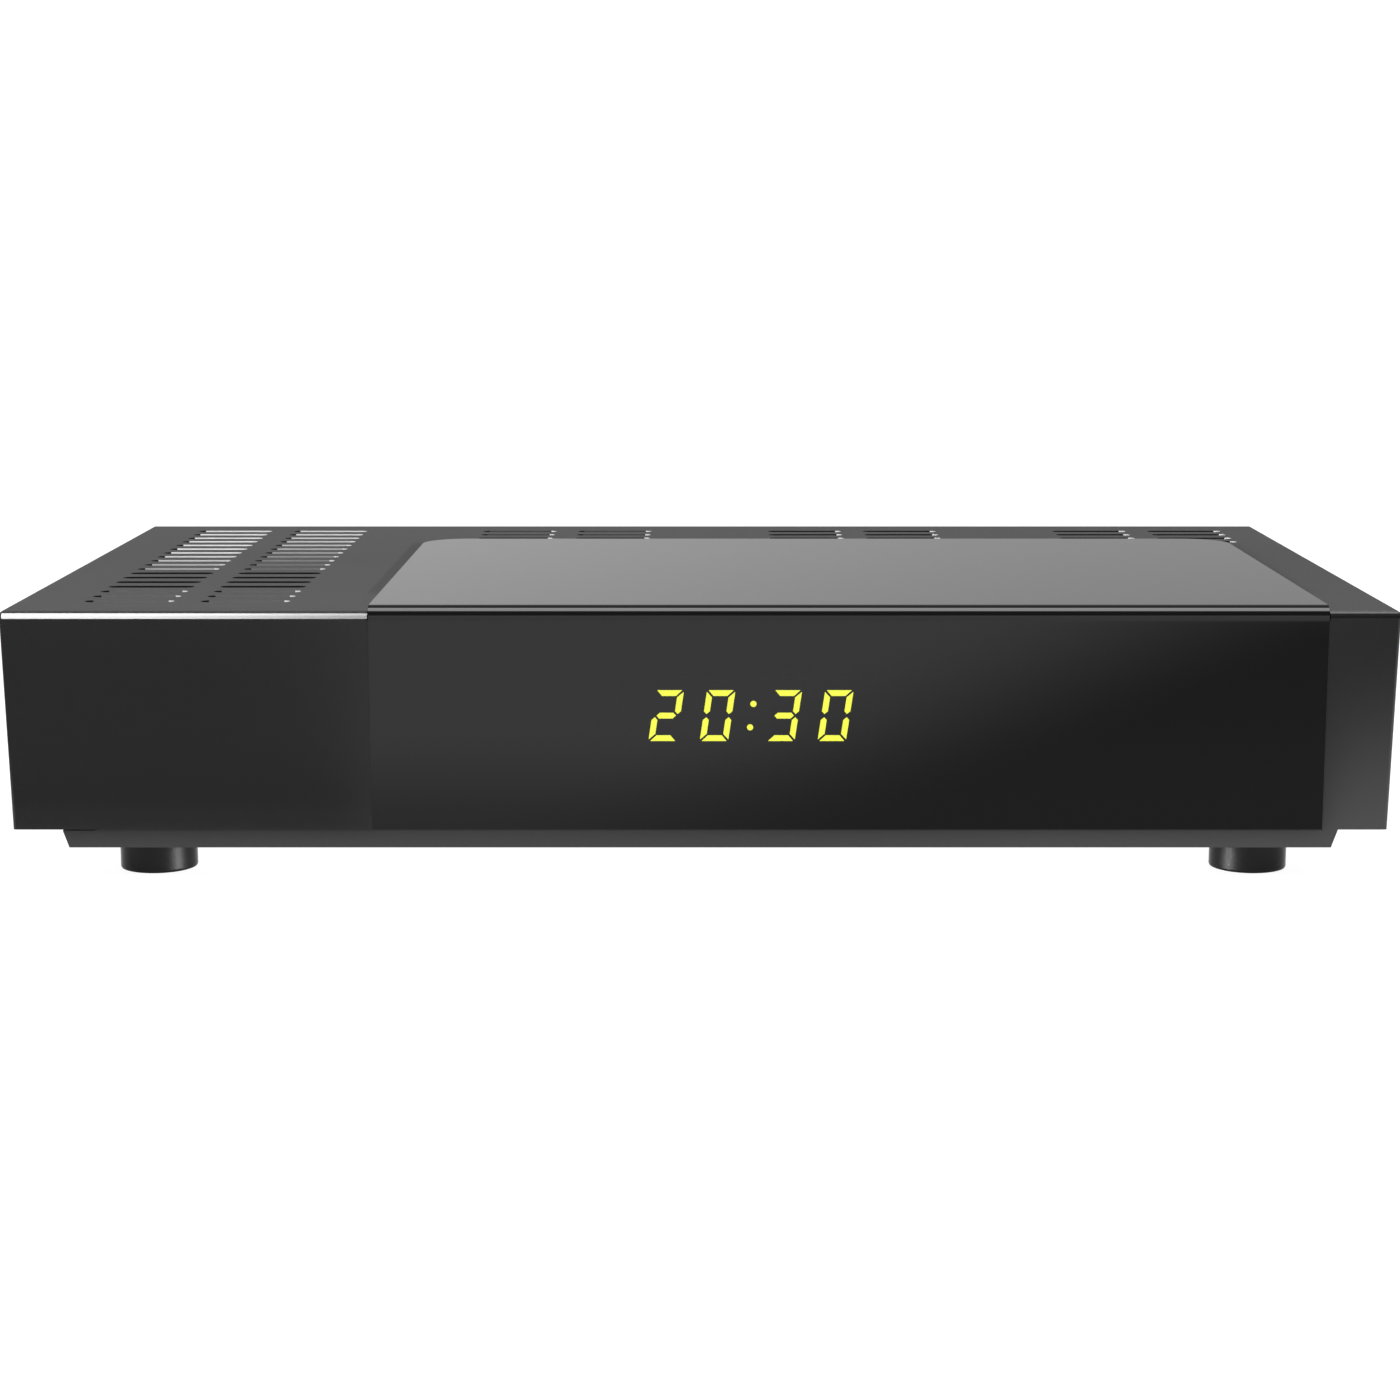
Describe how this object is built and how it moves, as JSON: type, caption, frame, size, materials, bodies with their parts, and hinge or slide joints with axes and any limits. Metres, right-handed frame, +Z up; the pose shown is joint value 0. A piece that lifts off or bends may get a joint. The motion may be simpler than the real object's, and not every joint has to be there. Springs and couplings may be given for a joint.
{
  "type": "satellite tv receiver",
  "caption": "Slim satellite receiver: vented steel case, glossy front window with a lit clock that wraps onto the top, rear sockets and a rocker power switch",
  "frame": {"origin": "on the table, under the middle of the whole part's box", "axes": "+Z up, the front with the clock faces -Y, the sockets face +Y, +X is to the right seen from the front"},
  "size_m": [0.2204, 0.137, 0.0443],
  "materials": {
    "cover_paint": "fine matte dark grey powder coat",
    "bare_sheet": "plain zinc-plated sheet",
    "badge_plastic": "fine matte black",
    "bezel_plastic": "satin black",
    "window_acrylic": "polished smoked black",
    "foot_plastic": "semi-matte black",
    "clock_light": "lit yellow bars on a black face",
    "black_plastic": "moulded black",
    "header_plastic": "ivory nylon",
    "ribbon_sleeve": "grey insulation",
    "circuit_board": "green solder mask",
    "chip_plastic": "matte black package",
    "heatsink_metal": "plain extruded",
    "tinned_metal": "bright tin plate",
    "nickel_plate": "bright nickel plate",
    "screw_steel": "zinc-plated"
  },
  "bodies": {
    "case": {"audio_socket": "nickel_plate", "badge_panel": "badge_plastic", "base_screw_front_left": "screw_steel", "base_screw_front_right": "screw_steel", "base_screw_rear_left": "screw_steel", "base_screw_rear_right": "screw_steel", "base_tray": "bare_sheet", "board_screw_back_left": "screw_steel", "board_screw_back_right": "screw_steel", "board_screw_front_left": "screw_steel", "board_screw_front_right": "screw_steel", "capacitor_back_left": "black_plastic", "capacitor_back_right": "black_plastic", "capacitor_front_left": "black_plastic", "capacitor_front_right": "black_plastic", "clock_digits": "clock_light", "clock_module": "black_plastic", "cover_screw_left": "screw_steel", "cover_screw_middle": "screw_steel", "cover_screw_right": "screw_steel", "crystal": "tinned_metal", "dc_inlet": "black_plastic", "display_window": "window_acrylic", "flash_chip": "chip_plastic", "foot_front_left": "foot_plastic", "foot_front_right": "foot_plastic", "foot_rear_left": "foot_plastic", "foot_rear_right": "foot_plastic", "foot_screw_front_left": "screw_steel", "foot_screw_front_right": "screw_steel", "foot_screw_rear_left": "screw_steel", "foot_screw_rear_right": "screw_steel", "front_bezel": "bezel_plastic", "front_board": "circuit_board", "front_board_screw_left": "screw_steel", "front_board_screw_right": "screw_steel", "front_header": "header_plastic", "hdmi_socket": "tinned_metal", "inductor_left": "chip_plastic", "inductor_right": "chip_plastic", "ir_receiver": "black_plastic", "lnb_connector": "nickel_plate", "lnb_nut": "nickel_plate", "main_board": "circuit_board", "main_header": "header_plastic", "main_processor": "chip_plastic", "memory_chip_back": "chip_plastic", "memory_chip_front": "chip_plastic", "processor_heatsink": "heatsink_metal", "rear_panel": "cover_paint", "regulator": "chip_plastic", "ribbon_cable": "ribbon_sleeve", "scart_socket": "black_plastic", "switch_housing": "black_plastic", "top_cover": "cover_paint", "tuner_can": "tinned_metal", "usb_socket": "tinned_metal"},
    "rocker": {"switch_rocker": "black_plastic"}
  },
  "joints": [
    {"name": "power_switch", "type": "hinge", "parent": "case", "child": "rocker", "pos_m": [-0.088, 0.0544, 0.0245], "axis": [0, 0, 1], "range_deg": [0, 17]}
  ]
}
